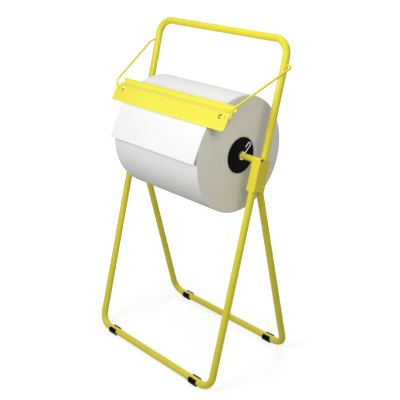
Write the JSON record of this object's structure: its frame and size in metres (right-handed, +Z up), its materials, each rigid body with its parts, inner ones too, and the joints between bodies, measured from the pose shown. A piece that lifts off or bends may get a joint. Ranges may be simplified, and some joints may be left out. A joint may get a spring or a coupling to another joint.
{
  "type": "floor-standing paper roll dispenser",
  "caption": "Folding tube stand on saddle feet that carries a wide paper roll on a drop-in axle, with a folded tear bar on swinging wire arms resting on the roll.",
  "frame": {"origin": "on the floor, midway between the front and rear floor bars and between the side tubes", "axes": "+X along the axle to the right as seen from the front, -Y towards the front where the sheet hangs, +Z up"},
  "size_m": [0.5954, 0.3816, 1.0488],
  "materials": {
    "yellow_paint": "satin powder coat",
    "black_plastic": "matte moulded",
    "zinc": "bright zinc plate",
    "nylon": "natural nylon",
    "cardboard": "spiral wound board",
    "paper": "soft embossed wiping paper"
  },
  "bodies": {
    "stand": {"front_leg_hoop": "yellow_paint", "top_hoop": "yellow_paint", "left_sleeve": "yellow_paint", "right_sleeve": "yellow_paint", "front_left_foot": "black_plastic", "front_right_foot": "black_plastic", "pivot_bolts": "yellow_paint", "pivot_nuts": "zinc", "pivot_spacers": "nylon", "hoop_screws": "zinc", "loose_sheet": "paper"},
    "rear_legs": {"rear_leg_hoop": "yellow_paint", "rear_left_foot": "black_plastic", "rear_right_foot": "black_plastic"},
    "roll_set": {"axle": "yellow_paint", "left_core_flange": "black_plastic", "right_core_flange": "black_plastic", "axle_collars": "zinc", "left_hairpin_clip": "zinc", "right_hairpin_clip": "zinc", "core_tube": "cardboard", "paper_roll": "paper"},
    "tear_bar_set": {"left_wire_arm": "yellow_paint", "right_wire_arm": "yellow_paint", "tear_bar": "yellow_paint"}
  },
  "joints": [
    {"name": "rear_leg_fold", "type": "hinge", "parent": "stand", "child": "rear_legs", "pos_m": [0, 0.01454, 0.63252], "axis": [-1, 0, 0], "range_deg": [0, 28.5]},
    {"name": "roll_spin", "type": "hinge", "parent": "stand", "child": "roll_set", "pos_m": [0, 0.01315, 0.70847], "axis": [1, 0, 0], "continuous": true},
    {"name": "tear_bar_lift", "type": "hinge", "parent": "stand", "child": "tear_bar_set", "pos_m": [0, 0.10478, 0.9712], "axis": [-1, 0, 0], "range_deg": [0, 276]}
  ]
}
